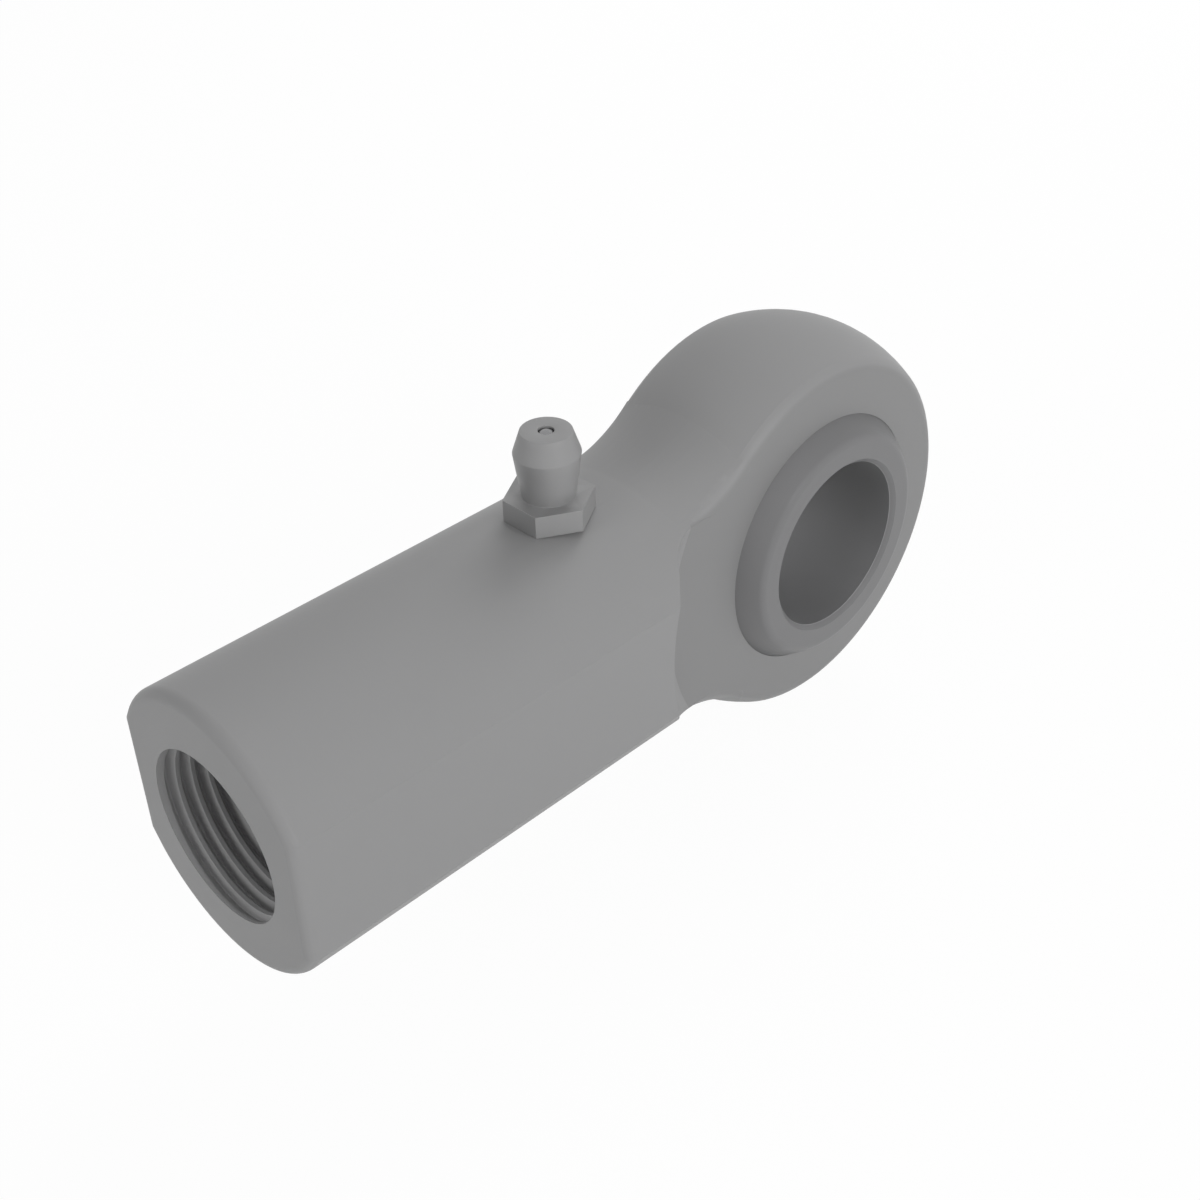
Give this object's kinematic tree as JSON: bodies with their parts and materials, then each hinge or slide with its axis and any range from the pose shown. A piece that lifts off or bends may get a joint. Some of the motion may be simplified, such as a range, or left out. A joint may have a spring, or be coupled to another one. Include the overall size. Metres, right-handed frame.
{
  "type": "female ball-joint rod end",
  "caption": "Threaded link end: a tapped round shank with wrench flats flares into a crowned eye that holds a swivelling bored ball, with a hexagonal grease nipple on the neck.",
  "frame": {"origin": "centre of the ball, halfway along its bore", "axes": "+X along the shank to its tapped end, +Y along the ball's bore, +Z out through the grease nipple"},
  "size_m": [0.0952, 0.024, 0.0456],
  "materials": {
    "body_steel": "satin machined carbon steel, an even mid grey",
    "ball_steel": "ground and polished bearing steel",
    "nipple_steel": "turned and plated mild steel",
    "check_ball_steel": "polished hard steel",
    "spring_steel": "drawn spring wire"
  },
  "bodies": {
    "rod_end": {"rod_end_body": "body_steel", "nipple_body": "nipple_steel", "check_spring": "spring_steel"},
    "inner_ring": {"ball": "ball_steel"},
    "check_valve": {"check_ball": "check_ball_steel"}
  },
  "joints": [
    {"name": "ball_swivel", "type": "hinge", "parent": "rod_end", "child": "inner_ring", "pos_m": [0, 0, 0], "axis": [1, 0, 0], "range_deg": [-10, 10]},
    {"name": "check_ball_slide", "type": "slide", "parent": "rod_end", "child": "check_valve", "axis": [0, 0, -1], "range_m": [0, 0.0008], "stiffness_N_per_m": 300, "springref_m": -0.0006, "deforming": ["check_spring"]}
  ]
}
